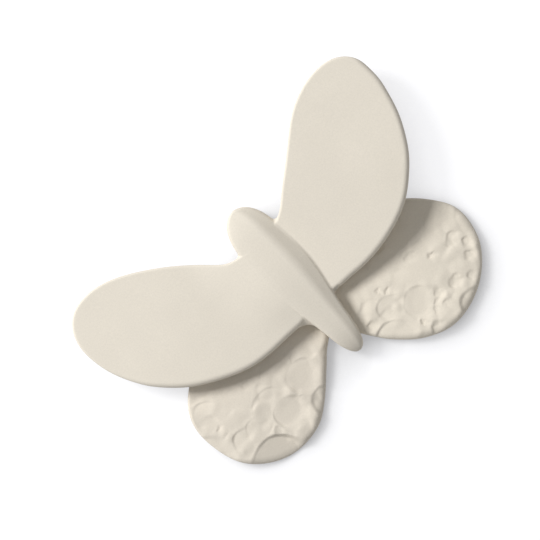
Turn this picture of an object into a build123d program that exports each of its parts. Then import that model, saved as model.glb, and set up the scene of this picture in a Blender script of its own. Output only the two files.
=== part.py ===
from build123d import *
import os

# Unglazed ceramic butterfly that hangs on a wall, here lying on its back: +Z is the front, the head
# points to +Y and the wings spread along X. The origin is the mouth of the nail hole, in the flat
# back of the body.

# Driving dimensions in millimetres, angles in degrees
body_length = 47.5
body_width = 12.4
body_ridge_height = 3.2
body_flat_depth = 1.2
head_reach = 15.5

forewing_length = 55.5
forewing_chord = 34.2
forewing_thickness = 4.0
forewing_rim_radius = 1.7
forewing_right_rise_angle = 4.5
forewing_left_rise_angle = 1.8
root_blend_radius = 1.5
seam_clearance = 0.8

hindwing_right_length = 43.0
hindwing_left_length = 45.3
hindwing_thickness = 3.7
hindwing_rim_radius = 1.3
wing_gap = 0.8
mark_depth = 0.6
mark_wall_spread = 0.4
mark_overrun = 0.5

nail_hole_diameter = 4.4
nail_hole_depth = 7.0

# A rim is rounded by at most this share of the slab's thickness
rim_limit_share = 0.45

# The forewings clear the hind wings by the gap, and the body stands above the forewings' roots as a
# ridge. Its clay roll is pressed flat by the flat depth, which sets where its axis is
forewing_height = hindwing_thickness + wing_gap
body_height = forewing_height + forewing_thickness + body_ridge_height
body_half_height = (body_height + body_flat_depth) / 2
body_axis_height = body_half_height - body_flat_depth

# Stations of the clay roll from the tail tip to the top of the head: place along the body, then half
# width, half height and height of the axis, as shares of what they are at the thorax
body_station_shares = (
    (0.016, 0.20, 0.22, 0.64),
    (0.047, 0.36, 0.40, 0.66),
    (0.105, 0.53, 0.57, 0.71),
    (0.210, 0.65, 0.72, 0.80),
    (0.368, 0.85, 0.88, 0.91),
    (0.553, 0.98, 0.97, 1.00),
    (0.710, 1.00, 1.00, 1.00),
    (0.816, 0.94, 0.97, 0.99),
    (0.884, 0.86, 0.89, 0.97),
    (0.930, 0.71, 0.74, 0.95),
    (0.968, 0.49, 0.52, 0.94),
    (0.989, 0.26, 0.28, 0.93),
)
tail_tip_axis_share = 0.63
head_tip_axis_share = 0.93

# How each wing is set: its side, its turn towards the head, where its root is on the body, and how
# much it rises towards its tip
forewing_right_setting = {
    "side": 1,
    "turn": 24.5,
    "root_share": 0.568,
    "rise_angle": forewing_right_rise_angle,
}
forewing_left_setting = {
    "side": -1,
    "turn": 20.1,
    "root_share": 0.589,
    "rise_angle": forewing_left_rise_angle,
}
hindwing_right_setting = {"side": 1, "turn": -28.0, "root_share": 0.316, "rise_angle": 0}
hindwing_left_setting = {"side": -1, "turn": -26.0, "root_share": 0.379, "rise_angle": 0}

# Both forewings are cut to one outline, from the leading root round the tip to the trailing root:
# shares of the wing's length along it, and of its chord across it, towards the head. Its two ends lie
# inside the body
forewing_outline_shares = (
    (0.043, 0.153),
    (0.270, 0.226),
    (0.494, 0.347),
    (0.674, 0.411),
    (0.840, 0.401),
    (0.957, 0.307),
    (1.000, 0.124),
    (0.964, -0.069),
    (0.854, -0.296),
    (0.683, -0.489),
    (0.427, -0.582),
    (0.171, -0.507),
    (-0.086, -0.306),
)

# The hind wings are cut one by one, so each has an outline of its own, as shares of its length
hindwing_right_outline_shares = (
    (-0.023, 0.099),
    (0.174, 0.302),
    (0.360, 0.442),
    (0.564, 0.488),
    (0.744, 0.453),
    (0.884, 0.384),
    (0.971, 0.262),
    (1.000, 0.105),
    (0.965, -0.041),
    (0.895, -0.169),
    (0.791, -0.273),
    (0.651, -0.328),
    (0.506, -0.331),
    (0.349, -0.291),
    (0.180, -0.205),
)
hindwing_left_outline_shares = (
    (0.000, 0.055),
    (0.193, 0.265),
    (0.398, 0.420),
    (0.575, 0.475),
    (0.713, 0.464),
    (0.845, 0.412),
    (0.939, 0.304),
    (0.989, 0.149),
    (1.000, 0.044),
    (0.967, -0.061),
    (0.884, -0.182),
    (0.773, -0.260),
    (0.646, -0.293),
    (0.514, -0.273),
    (0.331, -0.215),
    (0.221, -0.160),
    (0.160, -0.105),
    (0.110, -0.090),
    (0.055, -0.088),
)

# Round tool marks pressed into the hind wings, one over another: centre and radius as shares of the
# wing's length, then depth as a share of the deepest mark
hindwing_right_mark_shares = (
    (0.550, -0.122, 0.087, 0.70),
    (0.396, -0.303, 0.145, 0.50),
    (0.875, -0.213, 0.093, 1.00),
    (1.000, 0.295, 0.122, 0.80),
    (0.914, 0.111, 0.064, 0.60),
    (0.826, 0.189, 0.058, 0.50),
    (0.688, -0.108, 0.029, 0.80),
    (0.781, -0.072, 0.035, 0.80),
    (0.556, -0.244, 0.032, 0.90),
    (0.648, -0.195, 0.035, 0.90),
    (0.721, -0.183, 0.020, 0.90),
    (0.643, -0.297, 0.038, 0.80),
    (0.918, -0.071, 0.029, 0.80),
    (0.276, -0.189, 0.029, 0.80),
    (0.711, 0.121, 0.023, 0.80),
    (0.290, -0.103, 0.023, 0.80),
    (0.381, -0.028, 0.035, 0.60),
    (0.433, -0.026, 0.023, 0.80),
)
hindwing_left_mark_shares = (
    (0.911, -0.189, 0.166, 1.00),
    (0.638, -0.119, 0.094, 0.90),
    (0.423, -0.083, 0.099, 0.60),
    (0.505, -0.288, 0.088, 1.00),
    (0.837, 0.291, 0.094, 0.70),
    (1.026, 0.193, 0.116, 0.60),
    (0.872, 0.056, 0.077, 0.70),
    (0.738, 0.028, 0.077, 0.50),
    (0.764, -0.051, 0.050, 0.80),
    (0.575, 0.047, 0.066, 0.50),
)


def body_place(share):
    """Y of a place along the body, given as a share of its length from the tail tip."""
    return head_reach - body_length * (1 - share)


def wing_plane(setting, height):
    """Plane of a wing, from its root on the body's centre line, with X running out along the wing."""
    heading = setting["turn"] if setting["side"] > 0 else 180 - setting["turn"]
    rise_angle = setting["rise_angle"]
    return Plane(
        origin=(0, body_place(setting["root_share"]), height),
        x_dir=Vector(1, 0, 0).rotate(Axis.Y, -rise_angle).rotate(Axis.Z, heading),
        z_dir=Vector(0, 0, 1).rotate(Axis.Y, -rise_angle).rotate(Axis.Z, heading),
    )


def wing_slab(plane, outline, thickness, rim_radius):
    """A wing cut from a slab of clay: its outline, open at the root, with both rims rounded."""
    with BuildPart() as slab:
        with BuildSketch(plane):
            with BuildLine():
                rim = Spline(*outline)
                Line(rim @ 1, rim @ 0)
            make_face()
        extrude(amount=thickness)
        fillet(slab.edges().filter_by(GeomType.BSPLINE), min(rim_radius, rim_limit_share * thickness))
    return slab.part


def forewing_slab(setting):
    """A smooth forewing, which rises towards its tip."""
    outline = [
        (along * forewing_length, setting["side"] * across * forewing_chord)
        for along, across in forewing_outline_shares
    ]
    plane = wing_plane(setting, forewing_height)
    return wing_slab(plane, outline, forewing_thickness, forewing_rim_radius)


def marked_hindwing(setting, length, outline_shares, mark_shares):
    """A hind wing, flat on its back, with round marks pressed into its front."""
    side = setting["side"]
    outline = [(along * length, side * across * length) for along, across in outline_shares]
    plane = wing_plane(setting, 0)
    slab = wing_slab(plane, outline, hindwing_thickness, hindwing_rim_radius)
    with BuildPart() as wing:
        add(slab)
        for along, across, radius_share, depth_share in mark_shares:
            depth = mark_depth * depth_share
            wall_slope = mark_wall_spread / mark_depth
            middle = Pos(along * length, side * across * length, hindwing_thickness - depth)
            with Locations(plane * middle):
                Cone(
                    bottom_radius=radius_share * length,
                    top_radius=radius_share * length + wall_slope * (depth + mark_overrun),
                    height=depth + mark_overrun,
                    align=(Align.CENTER, Align.CENTER, Align.MIN),
                    mode=Mode.SUBTRACT,
                )
    return wing.part


# Clay roll of the body, with its back pressed flat
with BuildPart() as clay_roll:
    stations = []
    for place, width_share, height_share, axis_share in body_station_shares:
        middle = (0, body_place(place), body_axis_height * axis_share)
        half_width = body_width / 2 * width_share
        half_height = body_half_height * height_share
        with BuildSketch(Plane(origin=middle, x_dir=(1, 0, 0), z_dir=(0, 1, 0))) as station:
            with BuildLine():
                EllipticalCenterArc((0, 0), half_width, half_height, start_angle=0, arc_size=180)
                EllipticalCenterArc((0, 0), half_width, half_height, start_angle=180, arc_size=180)
            make_face()
        stations.append(station.sketch)
    tail_tip = Vertex(0, body_place(0), body_axis_height * tail_tip_axis_share)
    head_tip = Vertex(0, body_place(1), body_axis_height * head_tip_axis_share)
    loft(sections=[tail_tip, *stations, head_tip])
    split(bisect_by=Plane.XY, keep=Keep.TOP)

# Roll and forewings together, with the clay smoothed into a blend round each wing root
with BuildPart() as front:
    add(clay_roll.part)
    for setting in (forewing_right_setting, forewing_left_setting):
        add(forewing_slab(setting))
        fillet(front.edges(Select.NEW), root_blend_radius)

# The forewings are butted against short root seats that stand out from the body's sides
right_seam = Plane.YZ.offset(body_width / 2 + seam_clearance)
left_seam = Plane.YZ.offset(-body_width / 2 - seam_clearance)

with BuildPart() as body:
    add(front.part)
    split(bisect_by=right_seam, keep=Keep.BOTTOM)
    split(bisect_by=left_seam, keep=Keep.TOP)
    with Locations(-Plane.XY):
        Hole(radius=nail_hole_diameter / 2, depth=nail_hole_depth)
body.part.label = "body"

with BuildPart() as forewing_right:
    add(front.part)
    split(bisect_by=right_seam, keep=Keep.TOP)
forewing_right.part.label = "forewing_right"

with BuildPart() as forewing_left:
    add(front.part)
    split(bisect_by=left_seam, keep=Keep.BOTTOM)
forewing_left.part.label = "forewing_left"

# Hind wings, luted to the flanks of the body under the forewings, which shape their seats
with BuildPart() as hindwing_right:
    add(
        marked_hindwing(
            hindwing_right_setting,
            hindwing_right_length,
            hindwing_right_outline_shares,
            hindwing_right_mark_shares,
        )
    )
    add(front.part, mode=Mode.SUBTRACT)
hindwing_right.part.label = "hindwing_right"

with BuildPart() as hindwing_left:
    add(
        marked_hindwing(
            hindwing_left_setting,
            hindwing_left_length,
            hindwing_left_outline_shares,
            hindwing_left_mark_shares,
        )
    )
    add(front.part, mode=Mode.SUBTRACT)
hindwing_left.part.label = "hindwing_left"

os.makedirs("parts", exist_ok=True)
export_step(body.part, "parts/body.step")
export_step(forewing_right.part, "parts/forewing_right.step")
export_step(forewing_left.part, "parts/forewing_left.step")
export_step(hindwing_right.part, "parts/hindwing_right.step")
export_step(hindwing_left.part, "parts/hindwing_left.step")
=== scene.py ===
import math

import bmesh
import bpy
import numpy as np
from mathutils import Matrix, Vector


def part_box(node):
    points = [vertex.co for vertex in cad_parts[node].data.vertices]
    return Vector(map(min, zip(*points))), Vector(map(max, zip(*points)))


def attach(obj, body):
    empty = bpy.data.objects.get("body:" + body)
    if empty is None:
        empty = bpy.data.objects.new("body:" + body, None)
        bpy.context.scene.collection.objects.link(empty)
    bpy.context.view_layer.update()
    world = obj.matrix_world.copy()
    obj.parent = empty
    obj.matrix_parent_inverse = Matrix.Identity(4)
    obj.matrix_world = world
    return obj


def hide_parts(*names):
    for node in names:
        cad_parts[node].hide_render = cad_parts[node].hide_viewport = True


# An unglazed clay butterfly that hangs on a wall, lying on its back. Sizes are in millimetres, and
# meshes are turned into metres as they are made.
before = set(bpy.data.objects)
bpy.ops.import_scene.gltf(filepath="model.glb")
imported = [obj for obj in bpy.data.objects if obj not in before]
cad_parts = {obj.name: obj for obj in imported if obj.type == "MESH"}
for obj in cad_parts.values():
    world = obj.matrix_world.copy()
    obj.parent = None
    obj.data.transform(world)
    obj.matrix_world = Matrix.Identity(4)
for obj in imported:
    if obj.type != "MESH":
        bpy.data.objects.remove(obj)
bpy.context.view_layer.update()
mm = 0.001

bodyLow, bodyHigh = (np.array(corner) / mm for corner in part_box("body"))
seamX = bodyHigh[0]  # the forewings are butted on the body here, on both sides
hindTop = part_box("hindwing_right")[1].z / mm  # top face of the slabs of the hind wings

# Edges that face this way, in the plane of the wall, are cut crisp. The others are rolled over
crispSide = (-0.45, 0.89)
rollSpan = (-0.15, 0.45)  # how far an edge faces away from it where it starts to roll, and rolls fully
arcSteps = 9  # rings in each quarter circle of a rim
sharpAngle = 48  # degrees between two faces, past which the edge between them is shaded sharp


# Small tools for curves and meshes

def closedCurve(points, count, listed=4000):
    # A closed cubic spline through the points by chord length, then count points spread evenly on it
    points = np.array(points, float)
    steps = np.linalg.norm(np.roll(points, -1, axis=0) - points, axis=1)
    before = np.roll(steps, 1)
    slopes = (np.roll(points, -1, axis=0) - points) / steps[:, None]
    system = np.diag(2 * (before + steps))
    system += np.roll(np.diag(steps), 1, axis=1) + np.roll(np.diag(before), -1, axis=1)
    bends = np.linalg.solve(system, 6 * (slopes - np.roll(slopes, 1, axis=0)))
    starts = np.concatenate([[0], np.cumsum(steps)])
    fine = np.linspace(0, starts[-1], listed, endpoint=False)
    span = np.searchsorted(starts, fine, side="right") - 1
    after = (span + 1) % len(points)
    h, near, far = steps[span], fine - starts[span], starts[span + 1] - fine
    h, near, far = h[:, None], near[:, None], far[:, None]
    curve = (bends[span] * far**3 + bends[after] * near**3) / (6 * h)
    curve += (points[span] / h - bends[span] * h / 6) * far
    curve += (points[after] / h - bends[after] * h / 6) * near
    lengths = np.linalg.norm(np.roll(curve, -1, axis=0) - curve, axis=1)
    along = np.concatenate([[0], np.cumsum(lengths)])
    wanted = np.linspace(0, along[-1], count, endpoint=False)
    closed = np.vstack([curve, curve[:1]])
    return np.column_stack([np.interp(wanted, along, closed[:, axis]) for axis in (0, 1)])


def outwardNormals(curve):
    # Square to the chord between a point's two neighbours, on the side away from the middle
    chord = np.roll(curve, -1, axis=0) - np.roll(curve, 1, axis=0)
    normal = np.column_stack([chord[:, 1], -chord[:, 0]])
    normal /= np.linalg.norm(normal, axis=1)[:, None]
    outwards = np.sum(normal * (curve - curve.mean(axis=0)))
    return normal if outwards > 0 else -normal


def smoothStep(value, low, high):
    # 0 at the low value, 1 at the high one, level at both
    share = np.clip((value - low) / (high - low), 0, 1)
    return share * share * (3 - 2 * share)


def between(start, end, share):
    # The start at share 0, the end at share 1, in a straight line
    return start + (end - start) * share


def rolledShare(normalX, normalY):
    # A smooth step over how far the edge's normal points away from the crisp side: 0 crisp, 1 rolled
    return smoothStep(-(normalX * crispSide[0] + normalY * crispSide[1]), *rollSpan)


def ringFaces(rows, columns):
    # Quads between rings of a grid that closes round its columns
    row, column = np.meshgrid(np.arange(rows - 1), np.arange(columns), indexing="ij")
    a = row * columns + column
    b = row * columns + (column + 1) % columns
    return np.stack([a, b, b + columns, a + columns], axis=-1).reshape(-1, 4)


def capFaces(ring, pole, columns, flip):
    # A fan of triangles from the last ring to its pole
    first = ring * columns + np.arange(columns)
    second = ring * columns + (np.arange(columns) + 1) % columns
    if flip:
        first, second = second, first
    return np.column_stack([first, second, np.full(columns, pole)])


def makeClay(name, points, quads, triangles):
    # Millimetres become metres here
    mesh = bpy.data.meshes.new(name)
    mesh.vertices.add(len(points))
    mesh.vertices.foreach_set("co", (points * mm).ravel())
    sizes = np.concatenate([np.full(len(quads), 4), np.full(len(triangles), 3)])
    corners = np.concatenate([quads.ravel(), triangles.ravel()])
    mesh.loops.add(len(corners))
    mesh.loops.foreach_set("vertex_index", corners)
    mesh.polygons.add(len(sizes))
    mesh.polygons.foreach_set("loop_start", np.cumsum(sizes) - sizes)
    mesh.update(calc_edges=True)
    mesh.validate()
    piece = bpy.data.objects.new(name, mesh)
    bpy.context.scene.collection.objects.link(piece)
    return piece


def makeRings(name, rings, topPole, backPole):
    # A closed mesh from rings of points, with a pole at either end
    rows, columns = rings.shape[:2]
    points = np.vstack([rings.reshape(-1, 3), [topPole, backPole]])
    caps = np.vstack([
        capFaces(0, rows * columns, columns, True),
        capFaces(rows - 1, rows * columns + 1, columns, False),
    ])
    piece = makeClay(name, points, ringFaces(rows, columns), caps)
    pointOutwards(piece)
    return piece


def pointOutwards(piece):
    # Turns the whole mesh over if its faces point inwards
    shape = bmesh.new()
    shape.from_mesh(piece.data)
    if shape.calc_volume(signed=True) < 0:
        bmesh.ops.reverse_faces(shape, faces=shape.faces[:])
    shape.to_mesh(piece.data)
    shape.free()


def cutAtSeam(piece, x, keepSide):
    # Cuts the mesh square across at x, drops what is past it and closes the cut with one flat face
    shape = bmesh.new()
    shape.from_mesh(piece.data)
    everything = shape.verts[:] + shape.edges[:] + shape.faces[:]
    bmesh.ops.bisect_plane(
        shape, geom=everything, plane_co=(x * mm, 0, 0), plane_no=(-keepSide, 0, 0), clear_outer=True
    )
    rim = [edge for edge in shape.edges if edge.is_boundary]
    bmesh.ops.holes_fill(shape, edges=rim, sides=0)
    shape.to_mesh(piece.data)
    shape.free()


def finishClay(piece, node, material):
    piece.data.shade_smooth()
    piece.data.set_sharp_from_angle(angle=math.radians(sharpAngle))
    piece.data.materials.append(material)
    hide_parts(node)
    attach(piece, "root")
    faces = sum(len(face.vertices) - 2 for face in piece.data.polygons)
    print(piece.name, "has", faces, "triangles")


# Fields: how far a point is outside the clay, in millimetres, negative inside

def roundUnion(a, b, blend):
    # Two distances joined, with the corner between them filled by an arc of radius blend
    inner = np.maximum(blend, np.minimum(a, b))
    return inner - np.hypot(np.maximum(blend - a, 0), np.maximum(blend - b, 0))


def roundOverlap(a, b, rounding):
    # What lies inside both distances, with the edge between them rounded
    return -roundUnion(-a, -b, rounding)


# The body: a clay roll pressed nearly flat on its left half, its right half falling to the wing. The
# lists of half widths, crest and low run from the tail tip to the top of the head
bodyClay = {
    "halfWidth": 6.7,
    "stationStep": 15,  # degrees between two listed values, of the angle that runs along the body
    "sineTerms": 7,
    "endShare": 0.0004,  # how near to either end the curves are read, and what keeps them sound there
    "leastWidth": 0.02,
    "leastDepth": 0.5,
    "leastSine": 0.01,
    "slantTurn": 0.002,  # angle to either side over which the slant of the half width is read
    "widthShares": (0, 0.195, 0.416, 0.532, 0.635, 0.80, 0.95, 1.0, 0.99, 0.87, 0.69, 0.37, 0),
    "crest": (4.2, 5.5, 7.1, 8.2, 9.1, 9.9, 10.6, 10.95, 11.1, 11.05, 10.75, 10.45, 10.3),
    "low": (3.5, 2.1, 0.75, -0.2, -0.6, -0.9, -1.1, -1.2, -1.15, -0.85, 0.35, 2.7, 5.2),
    "slopePlaces": (-25, -5, 5, 13),  # places along the body, and how steep the right half is there
    "rightSlope": (0.56, 0.64, 0.71, 0.78),
    "rightRamp": (0.22, 0.58),  # shares of the half width between which the right half steepens
    "leftBend": 0.137,
    "leftBendStart": 0.3,  # share of the half width at which the left half starts to bend down
    "crispRadius": 0.8,
    "rolledRadius": 0.7,
    "bellyRadius": 3.0,
    "footRounding": 0.35,
}

# Radii of the clay that fills the corners between the body and its wings
rootBlend = {
    "right": (0.5, 1.4),  # at the wing's top and well under it
    "leftTop": (0.4, 0.08),  # at the trailing edge and at the leading edge
    "leftUnder": (3.5, 1.2),  # the same, well under the wing's top
    "leftSpan": (-16.8, -14.4),  # places along the body where the one passes into the other
    "depth": 2.0,  # how far under the wing's top a blend has its full radius
    "turn": (0.3, 1.5),  # how far left of the middle the right blend starts and ends to be the left one
}

forewingRight = {
    "side": 1,
    "rootY": -5.02,
    "heading": 24.5,  # degrees towards the head
    "underside": 3.95,  # height of the slab's back at the root
    "rise": 4.6,  # degrees
    "bow": 1.85,
    "bowSpan": (4.0, 23.0, 56.0),  # places along the wing where the bow starts, is highest and ends
    "thickness": 3.7,
    "crispRadius": 0.6,
    "rolledRadius": 1.4,
    "backRadius": 1.2,
    "outline": (
        (2.0, 5.2), (5.4, 6.1), (8.3, 7.35), (12.15, 10.5), (16.6, 14.2), (22.15, 18.9), (27.9, 23.4),
        (33.6, 26.0), (40.0, 27.0), (44.3, 26.2), (47.3, 24.1), (48.95, 21.2), (49.37, 17.9),
        (49.33, 14.4), (48.7, 10.95), (47.2, 5.5), (44.9, 0.5), (41.9, -4.2), (38.0, -8.3),
        (34.2, -11.4), (29.4, -13.9), (24.4, -15.5), (19.4, -16.5), (14.4, -16.8), (9.4, -16.65),
        (5.0, -16.3), (1.8, -14.2),
    ),
}
forewingLeft = {
    "side": -1,
    "rootY": -4.02,
    "heading": 20.1,
    "underside": 4.4,
    "rise": 2.1,
    "bow": 0.0,
    "bowSpan": (4.0, 23.0, 56.0),
    "thickness": 3.7,
    "crispRadius": 0.6,
    "rolledRadius": 1.4,
    "backRadius": 1.2,
    "outline": (
        (-2.0, 4.6), (-5.8, 5.9), (-9.2, 6.6), (-13.6, 9.95), (-18.0, 13.9), (-22.3, 17.2),
        (-27.5, 20.55), (-32.4, 23.1), (-38.0, 24.8), (-42.3, 24.95), (-45.6, 24.2), (-48.3, 22.3),
        (-50.1, 19.5), (-50.95, 16.2), (-50.9, 12.6), (-49.6, 6.7), (-47.3, 1.6), (-44.6, -2.6),
        (-41.6, -5.9), (-38.1, -9.0), (-33.1, -12.1), (-28.1, -14.5), (-23.1, -16.2), (-18.1, -16.95),
        (-13.1, -17.05), (-8.5, -17.05), (-4.6, -16.7), (-1.8, -14.4),
    ),
}


def sineCurve(values, angle):
    # A straight run between the end values plus a sum of sines that comes closest to the listed ones
    listed = np.radians(np.arange(len(values)) * bodyClay["stationStep"])
    terms = np.arange(1, bodyClay["sineTerms"] + 1)
    share = (1 - np.cos(listed)) / 2
    rest = np.array(values) - values[0] - (values[-1] - values[0]) * share
    weights = np.linalg.lstsq(np.sin(np.outer(listed, terms)), rest, rcond=None)[0]
    curve = values[0] + (values[-1] - values[0]) * (1 - np.cos(angle)) / 2
    for term, weight in zip(terms, weights):
        curve = curve + weight * np.sin(term * angle)
    return curve


curveSteps = 2001
curveAngles = np.linspace(0, math.pi, curveSteps)
curveTable = {name: sineCurve(bodyClay[name], curveAngles) for name in ("widthShares", "crest", "low")}


def bodyCurves(y):
    # Half width, its slant, crest and low at a place along the body. The place is turned into an
    # angle by its cosine, so that the curves are round at both ends
    share = (y - bodyLow[1]) / (bodyHigh[1] - bodyLow[1])
    share = np.clip(share, bodyClay["endShare"], 1 - bodyClay["endShare"])
    angle = np.arccos(1 - 2 * share)
    half, crest, low = (np.interp(angle, curveAngles, curveTable[name]) for name in curveTable)
    half = np.maximum(half * bodyClay["halfWidth"], bodyClay["leastWidth"])
    turn = bodyClay["slantTurn"]
    wider = np.interp(angle + turn, curveAngles, curveTable["widthShares"])
    narrower = np.interp(angle - turn, curveAngles, curveTable["widthShares"])
    perAngle = (bodyHigh[1] - bodyLow[1]) / 2 * np.maximum(np.sin(angle), bodyClay["leastSine"])
    slant = (wider - narrower) * bodyClay["halfWidth"] / (2 * turn * perAngle)
    return half, slant, crest, np.minimum(low, crest - bodyClay["leastDepth"])


def leftFall(share):
    # How far the roof has bent down, as the square of the share of the half width past the start
    return bodyClay["leftBend"] * np.maximum(share - bodyClay["leftBendStart"], 0) ** 2


def bodyField(x, y, z):
    # Inside the plan, under a roof that bends down to both sides and more so to the right, and above
    # the belly, with the edges between them rounded
    b = bodyClay
    half, slant, crest, low = bodyCurves(y)
    outside = (np.abs(x) - half) / np.hypot(1, slant)
    across = x / half
    first, last = b["rightRamp"]
    ramp = np.clip(across - first, 0, last - first)
    steepness = np.interp(y, b["slopePlaces"], b["rightSlope"])
    fall = steepness * (ramp**2 / (2 * (last - first)) + np.maximum(across - last, 0))
    fall += leftFall(-across)
    slope = steepness * ramp / (last - first)
    above = (z - crest + fall * half) / np.hypot(1, slope)
    stretch = np.hypot(1, slant)
    rolled = rolledShare(np.sign(x) / stretch, -slant / stretch)
    rounding = between(b["crispRadius"], b["rolledRadius"], rolled)
    return roundOverlap(roundOverlap(outside, above, rounding), low - z, b["bellyRadius"])


def flankWidth(y, z):
    # Half the body's width at a height, round its belly's arc
    half, slant, crest, low = bodyCurves(y)
    radius = bodyClay["bellyRadius"]
    depth = np.clip(radius - (z - low), 0, radius)
    return half - radius + np.sqrt(radius**2 - depth**2)


def curveDistance(points, curve):
    # Distance to the nearest segment of the closed curve, negative inside, where a point is nearer
    # to the curve's middle than the curve is in the same direction
    ends = np.roll(curve, -1, axis=0)
    run = ends - curve
    gap = points[:, None, :] - curve[None]
    share = np.clip(np.sum(gap * run, axis=2) / np.sum(run * run, axis=1), 0, 1)
    away = np.linalg.norm(gap - share[..., None] * run, axis=2).min(axis=1)
    middle = curve.mean(axis=0)
    turn = np.arctan2(*(curve - middle).T[::-1])
    order = np.argsort(turn)
    radius = np.linalg.norm(curve - middle, axis=1)
    own = np.arctan2(*(points - middle).T[::-1])
    limit = np.interp(own, turn[order], radius[order], period=2 * math.pi)
    return np.where(np.linalg.norm(points - middle, axis=1) < limit, -away, away)


# Clay built up on the left forewing's root, and the grid on which distances round both roots are kept
rootBuild = {
    "acrossSpan": (6.0, 21.0),  # it runs out between these distances from the middle
    "alongSpan": (-28.0, -9.0),  # and grows between these places along the body
    "innerSpan": (1.0, 4.0),  # distances between which the slab comes up from its sunk inner end
    "innerDrop": 2.0,
}
rootGrid = {
    "around": 420,
    "reach": 18.0,
    "lowY": -26.0,
    "highY": 18.0,
    "pitch": 0.25,
    "rollSpan": (0.0, 9.0),  # how far towards the tail the rims start and end to roll over
    "margin": 1.001,  # cells kept clear at the far side, so that every cell has a next one
}


def rootDistances(wing):
    # The outline's distance on a grid round the wing's root
    xs = np.arange(0, rootGrid["reach"] + rootGrid["pitch"], rootGrid["pitch"])
    ys = np.arange(rootGrid["lowY"], rootGrid["highY"] + rootGrid["pitch"], rootGrid["pitch"])
    grid = np.stack(np.meshgrid(xs * wing["side"], ys, indexing="ij"), axis=-1)
    curve = closedCurve(wing["outline"], rootGrid["around"])
    return np.concatenate([curveDistance(row, curve) for row in grid]).reshape(len(xs), len(ys))


def slabBack(wing, x, y):
    # The back of a wing's slab rises along its heading, bowed up a little on the way
    heading = math.radians(wing["heading"])
    along = x * wing["side"] * math.cos(heading) + (y - wing["rootY"]) * math.sin(heading)
    start, peak, end = wing["bowSpan"]
    bow = wing["bow"] * (smoothStep(along, start, peak) - smoothStep(along, peak, end))
    return wing["underside"] + along * math.tan(math.radians(wing["rise"])) + bow


def slabTop(wing, x, y):
    # Parallel to the back. On the left, clay is built up from it to the body's own roof, along a cubic
    # that starts with the roof's slope and ends on the slab, less so at the trailing edge. Its inner
    # end is sunk out of the way of the roof
    top = slabBack(wing, x, y) + wing["thickness"]
    if wing["side"] > 0:
        return top
    half, slant, crest, low = bodyCurves(y)
    start, end = rootBuild["acrossSpan"]
    share = np.clip((np.abs(x) - start) / (end - start), 0, 1)
    roof = crest - leftFall(np.minimum(np.abs(x), start) / half) * half
    slope = -2 * bodyClay["leftBend"] * np.maximum(start / half - bodyClay["leftBendStart"], 0)
    cubic = (1 - share) ** 2 * ((1 + 2 * share) * roof + share * slope * (end - start))
    cubic = cubic + share**2 * (3 - 2 * share) * top
    inner = 1 - smoothStep(np.abs(x), *rootBuild["innerSpan"])
    return top + (cubic - top) * smoothStep(y, *rootBuild["alongSpan"]) - rootBuild["innerDrop"] * inner


def wingField(wing, x, y, z):
    # A slab between its back and its top, cut to the outline, less the rim's radius all round, then
    # grown by it
    table = wing["distances"]
    lastColumn, lastRow = (count - rootGrid["margin"] for count in table.shape)
    column = np.clip(x * wing["side"] / rootGrid["pitch"], 0, lastColumn)
    row = np.clip((y - rootGrid["lowY"]) / rootGrid["pitch"], 0, lastRow)
    i, j = column.astype(int), row.astype(int)
    s, t = column - i, row - j
    outside = (table[i, j] * (1 - s) + table[i + 1, j] * s) * (1 - t)
    outside += (table[i, j + 1] * (1 - s) + table[i + 1, j + 1] * s) * t
    outside += np.maximum(-x * wing["side"], 0)
    back, top = slabBack(wing, x, y), slabTop(wing, x, y)
    rolled = smoothStep(-y, *rootGrid["rollSpan"])
    topRadius = between(wing["crispRadius"], wing["rolledRadius"], rolled)
    radius = np.where(z > back + wing["thickness"] / 2, topRadius, wing["backRadius"])
    overhang = np.maximum(z - top, back - z) + radius
    outside = outside + radius
    corner = np.hypot(np.maximum(outside, 0), np.maximum(overhang, 0))
    return corner + np.minimum(np.maximum(outside, overhang), 0) - radius


def frontField(x, y, z):
    # Body and both wings joined, with a blend that is tight at the wings' tops and wider below them,
    # widest under the left trailing edge, and all of it pressed flat at the back
    depth = rootBlend["depth"]
    leading = smoothStep(y, *rootBlend["leftSpan"])
    topBlend = between(*rootBlend["leftTop"], leading)
    lowBlend = between(*rootBlend["leftUnder"], leading)
    leftBlend = between(topBlend, lowBlend, smoothStep(slabTop(forewingLeft, x, y) - z, 0, depth))
    atTop, below = rootBlend["right"]
    rightBlend = between(atTop, below, smoothStep(slabTop(forewingRight, x, y) - z, 0, depth))
    blend = between(rightBlend, leftBlend, smoothStep(-x, *rootBlend["turn"]))
    wings = np.minimum(wingField(forewingRight, x, y, z), wingField(forewingLeft, x, y, z))
    joined = roundUnion(bodyField(x, y, z), wings, blend)
    return roundOverlap(joined, -z, bodyClay["footRounding"])


# How points are pulled onto the joined clay
pull = {"rounds": 7, "nudge": 0.004, "leastSlope": 0.05, "longestStep": 0.6}


def pullToFront(points):
    # Newton's steps along the slope of the field until every point lies on the joined clay
    nudge = pull["nudge"]
    for _ in range(pull["rounds"]):
        x, y, z = points.T
        here = frontField(x, y, z)
        slope = np.column_stack([
            frontField(x + nudge, y, z) - frontField(x - nudge, y, z),
            frontField(x, y + nudge, z) - frontField(x, y - nudge, z),
            frontField(x, y, z + nudge) - frontField(x, y, z - nudge),
        ]) / (2 * nudge)
        size = np.maximum(np.sum(slope * slope, axis=1), pull["leastSlope"])
        step = np.clip(here / size, -pull["longestStep"], pull["longestStep"])
        points = points - slope * step[:, None]
    return points


for wing in (forewingRight, forewingLeft):
    wing["distances"] = rootDistances(wing)
print("fields ready")


def spread(values, density, count):
    # Count values out of a finely listed run, closer together where the density is higher
    summed = np.concatenate([[0], np.cumsum((density[1:] + density[:-1]) / 2)])
    return np.interp(np.linspace(0, summed[-1], count), summed, values)


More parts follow.
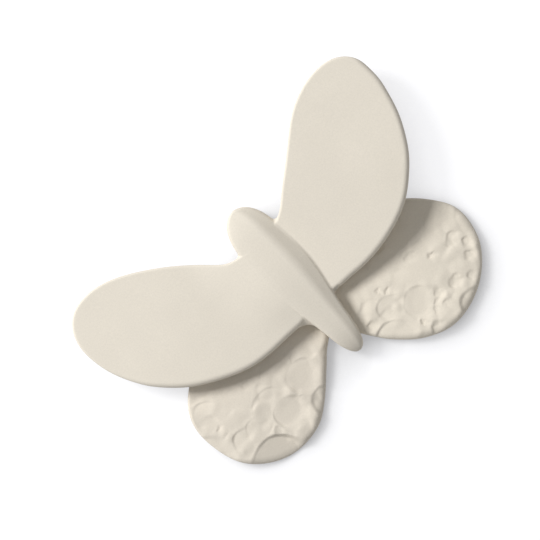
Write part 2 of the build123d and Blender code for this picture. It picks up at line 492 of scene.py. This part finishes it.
def peaks(values, places, width, height):
    # 1, and more round each place, as a bell of this width and height
    return 1 + sum(height * np.exp(-(((values - place) / width) ** 2)) for place in places)


# Stations and rays of the body's mesh, which stand closer together at the roots of the wings
bodyMesh = {
    "listed": 4001,
    "stations": 270,
    "rootEdges": (-16.6, 6.2),
    "stationPeak": (1.7, 2.5),  # how wide and how high the density rises there
    "rays": 400,
    "rootTurns": (0.15, math.pi - 0.3),
    "rayPeak": (0.35, 2.0),
    "wingZone": (-25.6, -17.4, 8.0, 13.5),  # the rays' centre rises, stays at this height, and falls
    "wingCentre": 6.6,
    "reach": 7.8,  # across the body, a little past the seams
    "longestRay": 15.0,
    "leastCosine": 1e-6,
    "coarseSteps": 44,
    "halvings": 22,
}


def makeBody(material):
    # For each station and each direction round it, the first crossing of the joined clay on a ray
    # from a centre inside the body, cut off a little past the seams
    b = bodyMesh
    angles = np.linspace(0, math.pi, b["listed"])
    places = bodyLow[1] + (bodyHigh[1] - bodyLow[1]) * (1 - np.cos(angles)) / 2
    angles = spread(angles, peaks(places, b["rootEdges"], *b["stationPeak"]), b["stations"] + 2)[1:-1]
    stationY = bodyLow[1] + (bodyHigh[1] - bodyLow[1]) * (1 - np.cos(angles)) / 2
    turns = np.linspace(-math.pi / 2, 3 * math.pi / 2, b["listed"])
    turns = spread(turns, peaks(turns, b["rootTurns"], *b["rayPeak"]), b["rays"] + 1)[:-1]
    y, turn = np.meshgrid(stationY, turns, indexing="ij")
    half, slant, crest, low = bodyCurves(y)
    inZone = smoothStep(y, *b["wingZone"][:2]) * (1 - smoothStep(y, *b["wingZone"][2:]))
    centre = between((crest + np.maximum(low, 0)) / 2, b["wingCentre"], inZone)
    reach = np.minimum(b["reach"] / np.maximum(np.abs(np.cos(turn)), b["leastCosine"]), b["longestRay"])
    inner = np.zeros_like(reach)
    outer = reach.copy()
    missed = np.ones(reach.shape, bool)
    steps = b["coarseSteps"]
    for step in range(1, steps + 1):
        radius = reach * step / steps
        value = frontField(radius * np.cos(turn), y, centre + radius * np.sin(turn))
        crossed = missed & (value > 0)
        outer[crossed] = radius[crossed]
        inner[crossed] = (radius - reach / steps)[crossed]
        missed &= ~crossed
    for _ in range(b["halvings"]):
        radius = (inner + outer) / 2
        inside = frontField(radius * np.cos(turn), y, centre + radius * np.sin(turn)) < 0
        inner = np.where(inside, radius, inner)
        outer = np.where(inside, outer, radius)
    found = np.where(missed, reach, (inner + outer) / 2)
    rings = np.stack([found * np.cos(turn), y, centre + found * np.sin(turn)], axis=-1)
    ends = [(0, bodyLow[1], rings[0, :, 2].mean()), (0, bodyHigh[1], rings[-1, :, 2].mean())]
    piece = makeRings("body_clay", rings, *ends)
    cutAtSeam(piece, seamX, -1)
    cutAtSeam(piece, -seamX, 1)
    pierce(piece)
    finishClay(piece, "body", material)


# A blind hole in the flat back, for a nail or a screw in the wall
nailHole = {
    "radius": 2.2,
    "depth": 7.0,
    "flare": 0.35,
    "flareStep": (0.3, 0.45),  # shares of the flare: what is left of its width, at this height
    "flareEnd": 1.2,
    "floorCorner": (0.5, 0.4),
    "overrun": 1.0,
    "sides": 72,
}


def pierce(piece):
    # The nail hole: a turned plug with a flared mouth, taken out of the body's back
    radius, depth, flare = nailHole["radius"], nailHole["depth"], nailHole["flare"]
    width, height = nailHole["flareStep"]
    inset, lift = nailHole["floorCorner"]
    profile = (
        (radius + flare, -nailHole["overrun"]), (radius + flare, 0.0),
        (radius + width * flare, height * flare), (radius, nailHole["flareEnd"] * flare),
        (radius, depth - lift), (radius - inset, depth),
    )
    radii, heights = np.array(profile).T
    turns = np.linspace(0, 2 * math.pi, nailHole["sides"], endpoint=False)
    rings = np.stack([
        radii[:, None] * np.cos(turns),
        radii[:, None] * np.sin(turns),
        np.repeat(heights[:, None], len(turns), axis=1),
    ], axis=-1)
    plug = makeRings("nail_plug", rings, (0, 0, heights[0]), (0, 0, heights[-1]))
    cut = piece.modifiers.new("pierce", "BOOLEAN")
    cut.operation = "DIFFERENCE"
    cut.solver = "EXACT"
    cut.object = plug
    bpy.context.view_layer.update()
    pierced = bpy.data.meshes.new_from_object(piece.evaluated_get(bpy.context.evaluated_depsgraph_get()))
    piece.modifiers.clear()
    piece.data = pierced
    bpy.data.objects.remove(plug)


def rimRings(curve, topRadius, backRadius):
    # The outline drawn in by a quarter circle above and one below, each with its own radius: returns
    # the rings, how far each point lies under the top, and how far above the back
    normal = outwardNormals(curve)
    arc = np.linspace(math.pi / 2, 0, arcSteps)[:, None]
    topInsets = topRadius * (1 - np.cos(arc))
    topDrops = topRadius * (1 - np.sin(arc))
    backInsets = (backRadius * (1 - np.cos(arc)))[::-1]
    backLifts = (backRadius * (1 - np.sin(arc)))[::-1]
    insets = np.vstack([topInsets, np.broadcast_to(backInsets, topInsets.shape)])
    rim = curve[None] - insets[..., None] * normal[None]
    return rim, topDrops, np.broadcast_to(backLifts, topDrops.shape)


def drawnIn(ring, middle, shares):
    # Copies of a ring, drawn in towards the middle to each of the shares
    return middle + (ring - middle)[None] * shares[:, None, None]


# How finely a forewing is meshed: points round it, rings on its top and back, and how small the last is
forewingMesh = {
    "around": 520,
    "topRings": 64,
    "topLast": 0.012,
    "backRings": 20,
    "backLast": 0.05,
    "pullSpan": (5.2, 15),  # distances from the middle between which points are pulled onto the clay
}


def makeForewing(wing, name, node, material):
    # Rings round the slab: the rim's arcs, then the outline drawn in to the middle by shares, above
    # and below; then pulled onto the joined clay near the root and cut at the seam
    m = forewingMesh
    curve = closedCurve(wing["outline"], m["around"])
    normal = outwardNormals(curve)
    rolled = rolledShare(*normal.T)
    topRadius = between(wing["crispRadius"], wing["rolledRadius"], rolled)
    rim, drops, lifts = rimRings(curve, topRadius[None], wing["backRadius"])
    middle = curve.mean(axis=0)
    topRows = drawnIn(rim[0], middle, np.linspace(m["topLast"], 1, m["topRings"], endpoint=False))
    backRows = drawnIn(rim[-1], middle, np.linspace(1, m["backLast"], m["backRings"] + 1)[1:])
    topFlat = np.vstack([topRows, rim[:arcSteps]])
    backFlat = np.vstack([rim[arcSteps:], backRows])
    topZ = slabTop(wing, *topFlat.T).T
    topZ[m["topRings"]:] -= drops
    backZ = slabBack(wing, *backFlat.T).T
    backZ[:arcSteps] += lifts
    rings = np.concatenate([np.vstack([topFlat, backFlat]), np.vstack([topZ, backZ])[..., None]], axis=-1)
    nearest, farthest = m["pullSpan"]
    near = (np.abs(rings[..., 0]) > nearest) & (np.abs(rings[..., 0]) < farthest)
    rings[near] = pullToFront(rings[near])
    topPole = (*middle, slabTop(wing, *middle))
    backPole = (*middle, slabBack(wing, *middle))
    piece = makeRings(name, rings, topPole, backPole)
    cutAtSeam(piece, wing["side"] * seamX, wing["side"])
    finishClay(piece, node, material)


# Each press: centre, radius, depth at its middle, then how its floor leans, as the heading in which it
# gets deeper and by how much a millimetre. Each bump: centre, radius and height
hindwingRight = {
    "side": 1,
    "crispRadius": 0.7,
    "rolledRadius": 1.8,
    "backRadius": 1.0,
    "fall": -0.35,  # of the front over the span below, which runs from the wing's middle
    "fallSpan": (-6.0, 17.0),
    "tipFall": 0.8,
    "tipSpan": (22.0, 40.0),  # distances from the body's middle over which the tip falls too
    "outline": (
        (2.2, -12.9), (6.5, -10.9), (12.7, -9.0), (22.6, -7.5), (31.0, -9.6), (35.7, -13.0),
        (39.4, -17.25), (41.5, -20.7), (42.3, -24.6), (41.9, -28.3), (40.5, -32.4), (37.9, -36.1),
        (34.3, -39.3), (30.0, -41.7), (24.8, -43.15), (20.6, -43.2), (15.9, -41.7), (12.2, -39.6),
        (9.3, -37.1), (6.7, -34.4), (4.7, -31.7), (2.2, -27.5), (1.6, -20.0),
    ),
    "presses": (
        (18.8, -33.0, 4.0, 0.30, -63, 0.02), (12.7, -29.3, 3.5, 0.18, 117, 0.03),
        (8.3, -37.3, 6.0, 0.34, 117, 0.03), (44.0, -26.4, 5.2, 0.38, -20, 0.05),
        (29.4, -35.7, 2.0, 0.24, 117, 0.05), (29.4, -43.3, 4.2, 0.60, -63, 0.04),
        (38.2, -30.4, 1.6, 0.26, 117, 0.08), (36.3, -33.2, 1.5, 0.26, 117, 0.08),
        (24.1, -34.6, 1.3, 0.18, 117, 0.06), (22.3, -36.3, 1.1, 0.18, 117, 0.06),
        (24.2, -38.2, 1.3, 0.20, 117, 0.06), (20.9, -37.4, 1.0, 0.18, 117, 0.06),
        (18.0, -40.9, 1.7, 0.34, 117, 0.1), (6.3, -29.8, 1.6, 0.26, 117, 0.1),
        (13.2, -24.3, 0.9, 0.18, 117, 0.1), (14.8, -25.7, 0.9, 0.20, 117, 0.1),
        (29.2, -26.7, 1.0, 0.30, 117, 0.05), (16.4, -37.8, 1.0, 0.32, 117, 0.05),
        (35.9, -27.6, 2.2, 0.24, 117, 0.04), (25.0, -23.5, 1.6, 0.15, 117, 0.05),
        (33.6, -37.6, 1.6, 0.2, 117, 0.05),
    ),
    "bumps": (
        (37.2, -24.9, 2.0, 0.20), (33.3, -25.4, 2.8, 0.30), (37.0, -27.9, 1.6, 0.22),
        (31.3, -33.0, 1.6, 0.12), (30.5, -37.3, 1.4, 0.20), (14.1, -30.2, 1.3, 0.22),
        (25.6, -36.4, 1.7, 0.10), (21.4, -40.1, 1.8, 0.24), (18.3, -38.7, 1.4, 0.22),
        (8.7, -26.3, 1.7, 0.20), (6.8, -28.0, 1.4, 0.18), (26.8, -38.9, 1.6, 0.2),
        (11.5, -33.0, 1.6, 0.18), (16.5, -28.2, 1.5, 0.16), (38.6, -32.0, 1.3, 0.22),
        (22.8, -31.0, 1.4, 0.14),
    ),
    "smoothSpots": ((25.0, -28.0, 5.0), (10.5, -36.5, 3.0), (18.8, -33.0, 4.0)),
}
hindwingLeft = {
    "side": -1,
    "crispRadius": 0.7,
    "rolledRadius": 1.8,
    "backRadius": 1.0,
    "fall": 1.15,
    "fallSpan": (-4.0, 17.0),
    "tipFall": 0.0,
    "tipSpan": (22.0, 40.0),
    "outline": (
        (-2.4, -12.0), (-6.5, -9.4), (-13.1, -7.0), (-24.5, -4.9), (-32.8, -6.1), (-38.1, -9.3),
        (-41.7, -12.8), (-43.7, -16.7), (-44.25, -20.75), (-43.85, -24.9), (-42.9, -28.8),
        (-41.2, -32.4), (-38.1, -35.8), (-34.3, -38.2), (-30.1, -39.55), (-26.8, -39.75),
        (-23.4, -39.35), (-20.0, -38.3), (-16.4, -35.9), (-13.1, -33.0), (-10.6, -30.5),
        (-8.1, -28.0), (-6.1, -26.0), (-3.0, -23.2), (-2.4, -18.0),
    ),
    "presses": (
        (-15.4, -26.6, 4.4, 0.34, -63, 0.045), (-23.7, -31.1, 4.3, 0.44, -63, 0.05),
        (-14.9, -35.6, 4.0, 0.80, -63, 0.15), (-34.5, -39.9, 7.9, 1.55, -63, 0.17),
        (-26.2, -27.2, 5.0, 0.13, 117, 0.02), (-32.2, -29.8, 4.0, 0.16, 117, 0.02),
        (-36.9, -29.2, 3.5, 0.20, 117, 0.02), (-39.5, -17.5, 3.6, 0.12, 117, 0.03),
        (-46.3, -26.5, 5.8, 0.60, 227, 0.06), (-39.5, -22.4, 0.9, 0.22, 117, 0.05),
        (-18.8, -31.2, 1.6, 0.16, 117, 0.06), (-28.9, -33.0, 1.5, 0.2, 117, 0.06),
        (-13.5, -22.0, 1.6, 0.12, 117, 0.03), (-27.0, -19.0, 1.5, 0.12, 117, 0.04),
    ),
    "bumps": (
        (-38.3, -30.6, 1.7, 0.22), (-39.6, -23.8, 1.2, 0.22), (-39.4, -25.4, 1.2, 0.2),
        (-30.4, -30.4, 1.4, 0.22), (-29.7, -31.8, 1.4, 0.2), (-24.8, -23.2, 1.8, 0.16),
        (-22.7, -20.5, 1.8, 0.15), (-20.3, -27.4, 1.6, 0.18), (-19.4, -35.4, 1.8, 0.18),
        (-11.2, -29.5, 1.8, 0.2), (-27.9, -36.4, 1.3, 0.15),
    ),
    "smoothSpots": (
        (-30.0, -20.0, 4.0), (-15.4, -26.6, 4.2), (-23.7, -31.1, 4.2), (-33.5, -37.5, 6.0),
    ),
}


# What all marks and all the unevenness between them have in common
hindwingClay = {
    "pressWaves": ((2, 0.14, 2.1), (3, 0.11, 1.3), (5, 0.07, 0.7)),  # number, height, shift per press
    "wallWidth": (0.6, 1.1, 1.2),  # at no depth, how much more a millimetre of depth, and at most
    "wallRolled": 1.7,  # and how many times wider still, away from the crisp side
    "wallOutside": 0.4,  # share of the wall that lies outside the press's edge
    "shallow": 0.5,
    "fadedShares": (0.3, 0.06),  # how much shallower ones and deeper ones fade, in some directions
    "fadeStart": 0.3,  # share of the radius inside which they don't
    "fadeShift": 1.7,
    "overlapShare": 0.12,
    "bumpFoot": 1.4,  # share of a bump's radius at which it ends
    "noise": {"size": 1.6, "seed": 9},
    "noiseHeight": 0.04,
    "patches": {"size": 3.8, "tilt": 0.085, "step": 0.06, "seed": 5},
    "spotFade": (0.5, 1.2),  # shares of a smooth spot's radius between which the unevenness returns
    "fallPower": 1.5,
}
lattice = {"count": 64, "shift": (32.3, 32.7)}
patchwork = {
    "half": 48,
    "shift": 24,
    "jitter": 0.4,  # share of a patch's size
    "sharpness": 2.5,
    "leastWeight": 1e-9,
}


def latticeNoise(x, y, size, seed):
    # Random values at the corners of squares of the given size, joined by smooth steps: -1 to 1
    count = lattice["count"]
    values = np.random.default_rng(seed).uniform(-1, 1, (count, count))
    column, row = x / size + lattice["shift"][0], y / size + lattice["shift"][1]
    i, j = np.floor(column).astype(int) % count, np.floor(row).astype(int) % count
    s, t = smoothStep(column % 1, 0, 1), smoothStep(row % 1, 0, 1)
    nextI, nextJ = (i + 1) % count, (j + 1) % count
    near = values[i, j] * (1 - s) + values[nextI, j] * s
    far = values[i, nextJ] * (1 - s) + values[nextI, nextJ] * s
    return near * (1 - t) + far * t


def facets(x, y, size, tilt, step, seed):
    # Patches round jittered centres, each with its own tilt and height, melted into each other by
    # weights that fall off as a bell
    random = np.random.default_rng(seed)
    half, jitter = patchwork["half"], patchwork["jitter"]
    span = np.arange(-half, half + 1, size)
    centres = np.stack(np.meshgrid(span, span - patchwork["shift"], indexing="ij"), axis=-1).reshape(-1, 2)
    centres = centres + random.uniform(-jitter, jitter, centres.shape) * size
    tilts = random.uniform(-tilt, tilt, centres.shape)
    steps = random.uniform(-step, step, len(centres))
    low = np.array([x.min(), y.min()]) - size
    high = np.array([x.max(), y.max()]) + size
    total = np.zeros_like(x)
    weights = np.full_like(x, patchwork["leastWeight"])
    for (centreX, centreY), (tiltX, tiltY), height in zip(centres, tilts, steps):
        if low[0] < centreX < high[0] and low[1] < centreY < high[1]:
            farness = ((x - centreX) ** 2 + (y - centreY) ** 2) * (patchwork["sharpness"] / size) ** 2
            weight = np.exp(-farness)
            total += weight * (height + tiltX * (x - centreX) + tiltY * (y - centreY))
            weights += weight
    return total / weights


def relief(wing, x, y):
    # For each press: pressed to its leaning floor inside its uneven edge, with a soft wall that is
    # wider away from the crisp side, and fainter near its edge in some directions. Where two overlap
    # the deeper one wins, with a part of the other. Bumps are low domes. Patches and noise make the
    # clay uneven except at the smooth spots, and its front falls towards the rolled side
    c = hindwingClay
    pressed = np.zeros_like(x)
    for order, (pressX, pressY, radius, depth, heading, lean) in enumerate(wing["presses"]):
        turn = np.arctan2(y - pressY, x - pressX)
        uneven = sum(high * np.sin(waves * turn + order * shift) for waves, high, shift in c["pressWaves"])
        reach = np.hypot(x - pressX, y - pressY)
        away = reach - radius - uneven
        towards = (x - pressX) * math.cos(math.radians(heading))
        towards += (y - pressY) * math.sin(math.radians(heading))
        floor = np.maximum(depth + lean * towards, 0)
        thin, byDepth, thick = c["wallWidth"]
        wall = np.minimum(thin + byDepth * depth, thick)
        wall = wall * (1 + c["wallRolled"] * rolledShare(np.cos(turn), np.sin(turn)))
        push = floor * smoothStep(-away, -c["wallOutside"] * wall, (1 - c["wallOutside"]) * wall)
        faded = c["fadedShares"][0 if depth < c["shallow"] else 1]
        faded = faded * smoothStep(reach, c["fadeStart"] * radius, radius)
        push = push * (1 + faded * (np.sin(2 * turn + order * c["fadeShift"]) - 1))
        pressed = np.maximum(pressed, push) + c["overlapShare"] * np.minimum(pressed, push)
    raised = np.zeros_like(x)
    for bumpX, bumpY, radius, height in wing["bumps"]:
        away = np.hypot(x - bumpX, y - bumpY) / radius
        raised = np.maximum(raised, height * (1 - smoothStep(away, 0, c["bumpFoot"])))
    lumps = c["noiseHeight"] * latticeNoise(x, y, **c["noise"]) + facets(x, y, **c["patches"])
    for spotX, spotY, radius in wing["smoothSpots"]:
        away = np.hypot(x - spotX, y - spotY)
        lumps = lumps * smoothStep(away, c["spotFade"][0] * radius, c["spotFade"][1] * radius)
    middle = np.mean(wing["outline"], axis=0)
    rolled = -(x - middle[0]) * crispSide[0] - (y - middle[1]) * crispSide[1]
    share = np.maximum((rolled - wing["fallSpan"][0]) / np.ptp(wing["fallSpan"]), 0)
    fall = wing["fall"] * share ** c["fallPower"]
    outwards = smoothStep(np.abs(x), *wing["tipSpan"]) * wing["tipFall"]
    return raised + lumps - pressed - fall - outwards


# Meshed as a forewing is, and this far from the body's flank
hindwingMesh = {
    "around": 640,
    "topRings": 96,
    "topLast": 0.008,
    "backRings": 12,
    "backLast": 0.05,
    "flankGap": 0.03,
}


def makeHindwing(wing, name, node, material):
    # Rings as on a forewing, lying flat on the back, with the relief in the height of the top and
    # rim, and with the root following the body's flank
    m = hindwingMesh
    curve = closedCurve(wing["outline"], m["around"])
    rolled = rolledShare(*outwardNormals(curve).T)
    topRadius = between(wing["crispRadius"], wing["rolledRadius"], rolled)
    rim, drops, lifts = rimRings(curve, topRadius[None], wing["backRadius"])
    rises = np.vstack([1 - drops / hindTop, lifts / hindTop])
    flank = flankWidth(rim[..., 1], rises * hindTop) + m["flankGap"]
    rim[..., 0] = wing["side"] * np.maximum(rim[..., 0] * wing["side"], flank)
    middle = curve.mean(axis=0)
    topRows = drawnIn(rim[0], middle, np.linspace(m["topLast"], 1, m["topRings"], endpoint=False))
    backRows = drawnIn(rim[-1], middle, np.linspace(1, m["backLast"], m["backRings"] + 1)[1:])
    flat = np.vstack([topRows, rim, backRows])
    levels = np.vstack([np.ones(topRows.shape[:2]), rises, np.zeros(backRows.shape[:2])])
    x, y = flat[..., 0], flat[..., 1]
    z = levels * (hindTop + relief(wing, x, y))
    topPole = hindTop + relief(wing, *(np.array([value]) for value in middle))[0]
    rings = np.concatenate([flat, z[..., None]], axis=-1)
    piece = makeRings(name, rings, (*middle, topPole), (*middle, 0))
    finishClay(piece, node, material)


# Finish: one batch of pale clay, fired without a glaze
bisque = {
    "colour": (0.795, 0.738, 0.640),
    "roughness": 0.92,
    "specular": 0.25,
    "grainScale": 2600,
    "grainDetail": 3,
    "grainShare": 0.045,
    "cloudScale": 55,
    "cloudDetail": 2,
    "cloudShare": 0.035,
    "noiseSpan": (0.2, 0.8),  # values of the noise between which it swings the colour
    "bumpHeight": 0.02,
}


def bisqueSurface(name, paintedLightTint):
    # Colour is the clay's, times a tint that paints light or shade into a piece, and times a fine grain
    # and a broad cloudiness that each swing by a small share; the same grain lifts the surface by
    # hundredths of a millimetre
    material = bpy.data.materials.new(name)
    material.use_nodes = True
    nodes, links = material.node_tree.nodes, material.node_tree.links
    shader = nodes["Principled BSDF"]
    shader.inputs["Roughness"].default_value = bisque["roughness"]
    shader.inputs["Specular IOR Level"].default_value = bisque["specular"]
    place = nodes.new("ShaderNodeTexCoord")
    grain = nodes.new("ShaderNodeTexNoise")
    grain.inputs["Scale"].default_value = bisque["grainScale"]
    grain.inputs["Detail"].default_value = bisque["grainDetail"]
    cloud = nodes.new("ShaderNodeTexNoise")
    cloud.inputs["Scale"].default_value = bisque["cloudScale"]
    cloud.inputs["Detail"].default_value = bisque["cloudDetail"]
    for noise in (grain, cloud):
        links.new(place.outputs["Object"], noise.inputs["Vector"])

    def swing(noise, share):
        node = nodes.new("ShaderNodeMapRange")
        node.inputs["From Min"].default_value = bisque["noiseSpan"][0]
        node.inputs["From Max"].default_value = bisque["noiseSpan"][1]
        node.inputs["To Min"].default_value = 1 - share
        node.inputs["To Max"].default_value = 1 + share
        links.new(noise.outputs["Fac"], node.inputs["Value"])
        return node

    both = nodes.new("ShaderNodeMath")
    both.operation = "MULTIPLY"
    links.new(swing(grain, bisque["grainShare"]).outputs["Result"], both.inputs[0])
    links.new(swing(cloud, bisque["cloudShare"]).outputs["Result"], both.inputs[1])
    colour = nodes.new("ShaderNodeVectorMath")
    colour.operation = "SCALE"
    colour.inputs[0].default_value = [c * t for c, t in zip(bisque["colour"], paintedLightTint)]
    links.new(both.outputs["Value"], colour.inputs["Scale"])
    links.new(colour.outputs["Vector"], shader.inputs["Base Color"])
    bump = nodes.new("ShaderNodeBump")
    bump.inputs["Distance"].default_value = bisque["bumpHeight"] * mm
    bump.inputs["Strength"].default_value = 1.0
    links.new(grain.outputs["Fac"], bump.inputs["Height"])
    links.new(bump.outputs["Normal"], shader.inputs["Normal"])
    return material


# Stage: camera, light and a pale floor
view = {
    "centre": (-3.06, -1.6),
    "turn": -43.0,  # degrees; the butterfly's head points up and to the left in the picture
    "frameWidth": 135.0,  # at the height below
    "focusHeight": 8.0,
    "lens": 200,
    "sensor": 36,
    "clipStart": 0.01,  # metres
}
light = {
    "from": (-0.45, 0.89),
    "elevation": 42,
    "distance": 900,
    "size": 300,
    "power": 7.75,
    "sky": 0.315,
}
stage = {
    "half": 2.5,  # metres
    "colour": (0.80, 0.80, 0.80, 1),
    "drop": 0.02,
    "seenColour": (0.25, 0.25, 0.25, 1),
    "seenTint": (0.98, 0.98, 1.0, 1),
    "seenStrength": (0.36, 0.86),  # where the floor is hidden from the room, and where it is open
    "openShare": (0.40, 0.92),
    "openReach": 12.0,
    "openLevel": 30,  # elevation, on the lamp's side, of the middle of the room that it sees
}


def setCamera():
    data = bpy.data.cameras.new("camera")
    data.lens = view["lens"]
    data.sensor_width = view["sensor"]
    data.clip_start = view["clipStart"]
    camera = bpy.data.objects.new("camera", data)
    distance = view["frameWidth"] * view["lens"] / view["sensor"] + view["focusHeight"]
    camera.location = Vector((*view["centre"], distance)) * mm
    camera.rotation_euler = (0, 0, math.radians(view["turn"]))
    bpy.context.scene.collection.objects.link(camera)
    bpy.context.scene.camera = camera


def setLight():
    data = bpy.data.lights.new("window", "AREA")
    data.shape = "DISK"
    data.size = light["size"] * mm
    data.energy = light["power"]
    lamp = bpy.data.objects.new("window", data)
    level = math.radians(light["elevation"])
    across = Vector((*light["from"], 0)).normalized() * math.cos(level)
    lamp.location = (across + Vector((0, 0, math.sin(level)))) * light["distance"] * mm
    lamp.rotation_euler = (-lamp.location).to_track_quat("-Z", "Y").to_euler()
    bpy.context.scene.collection.objects.link(lamp)


def backgroundRays(nodes, links):
    # 1 for rays that should see plain white: straight from the camera, mirrored or through glass
    path = nodes.new("ShaderNodeLightPath")
    first = nodes.new("ShaderNodeMath")
    first.operation = "MAXIMUM"
    second = nodes.new("ShaderNodeMath")
    second.operation = "MAXIMUM"
    links.new(path.outputs["Is Camera Ray"], first.inputs[0])
    links.new(path.outputs["Is Glossy Ray"], first.inputs[1])
    links.new(first.outputs[0], second.inputs[0])
    links.new(path.outputs["Is Transmission Ray"], second.inputs[1])
    return second.outputs[0]


def mixByRay(nodes, links, plain, seen):
    mix = nodes.new("ShaderNodeMixShader")
    links.new(backgroundRays(nodes, links), mix.inputs["Fac"])
    links.new(plain.outputs[0], mix.inputs[1])
    links.new(seen.outputs[0], mix.inputs[2])
    return mix.outputs[0]


def setSky():
    world = bpy.data.worlds.new("sky")
    world.use_nodes = True
    bpy.context.scene.world = world
    nodes, links = world.node_tree.nodes, world.node_tree.links
    plain = nodes["Background"]
    plain.inputs["Color"].default_value = (1, 1, 1, 1)
    plain.inputs["Strength"].default_value = light["sky"]
    white = nodes.new("ShaderNodeBackground")
    white.inputs["Color"].default_value = (1, 1, 1, 1)
    white.inputs["Strength"].default_value = 1
    links.new(mixByRay(nodes, links, plain, white), nodes["World Output"].inputs["Surface"])


def setFloor():
    # Plain to the object. To the camera it glows, less where the object hides it from the room, which
    # paints a soft shadow round the object
    mesh = bpy.data.meshes.new("floor")
    half = stage["half"]
    corners = [(-half, -half, 0), (half, -half, 0), (half, half, 0), (-half, half, 0)]
    mesh.from_pydata(corners, [], [(0, 1, 2, 3)])
    floor = bpy.data.objects.new("floor", mesh)
    bpy.context.scene.collection.objects.link(floor)
    material = bpy.data.materials.new("pale_floor")
    material.use_nodes = True
    nodes, links = material.node_tree.nodes, material.node_tree.links
    nodes.remove(nodes["Principled BSDF"])
    plain = nodes.new("ShaderNodeBsdfDiffuse")
    plain.inputs["Color"].default_value = stage["colour"]
    openness = nodes.new("ShaderNodeAmbientOcclusion")
    openness.inputs["Distance"].default_value = stage["openReach"] * mm
    level = math.radians(stage["openLevel"])
    aim = nodes.new("ShaderNodeCombineXYZ")
    aim.inputs["X"].default_value = light["from"][0] * math.cos(level)
    aim.inputs["Y"].default_value = light["from"][1] * math.cos(level)
    aim.inputs["Z"].default_value = math.sin(level)
    links.new(aim.outputs["Vector"], openness.inputs["Normal"])
    strength = nodes.new("ShaderNodeMapRange")
    strength.inputs["From Min"].default_value = stage["openShare"][0]
    strength.inputs["From Max"].default_value = stage["openShare"][1]
    strength.inputs["To Min"].default_value = stage["seenStrength"][0]
    strength.inputs["To Max"].default_value = stage["seenStrength"][1]
    links.new(openness.outputs["AO"], strength.inputs["Value"])
    glow = nodes.new("ShaderNodeEmission")
    glow.inputs["Color"].default_value = stage["seenTint"]
    links.new(strength.outputs["Result"], glow.inputs["Strength"])
    shaded = nodes.new("ShaderNodeBsdfDiffuse")
    shaded.inputs["Color"].default_value = stage["seenColour"]
    seen = nodes.new("ShaderNodeAddShader")
    links.new(shaded.outputs[0], seen.inputs[0])
    links.new(glow.outputs[0], seen.inputs[1])
    links.new(mixByRay(nodes, links, plain, seen), nodes["Material Output"].inputs["Surface"])
    mesh.materials.append(material)
    floor.location.z = -stage["drop"] * mm


setCamera()
setLight()
setSky()
setFloor()
print("stage set")

# The same clay all over, with a tinted copy on each hind wing: painted light on the right one, brighter,
# and painted shade on the left one, darker
smooth = bisqueSurface("bisque_smooth", (1, 1, 1))
paintedLightRight = bisqueSurface("bisque_painted_light_right", (1.02, 1.012, 1.0))
paintedShadeLeft = bisqueSurface("bisque_painted_shade_left", (0.98, 0.97, 0.965))
makeForewing(forewingRight, "forewing_right_clay", "forewing_right", smooth)
makeForewing(forewingLeft, "forewing_left_clay", "forewing_left", smooth)
makeHindwing(hindwingRight, "hindwing_right_clay", "hindwing_right", paintedLightRight)
makeHindwing(hindwingLeft, "hindwing_left_clay", "hindwing_left", paintedShadeLeft)
makeBody(smooth)
print("clay done")

bpy.context.scene.view_settings.view_transform = "Standard"
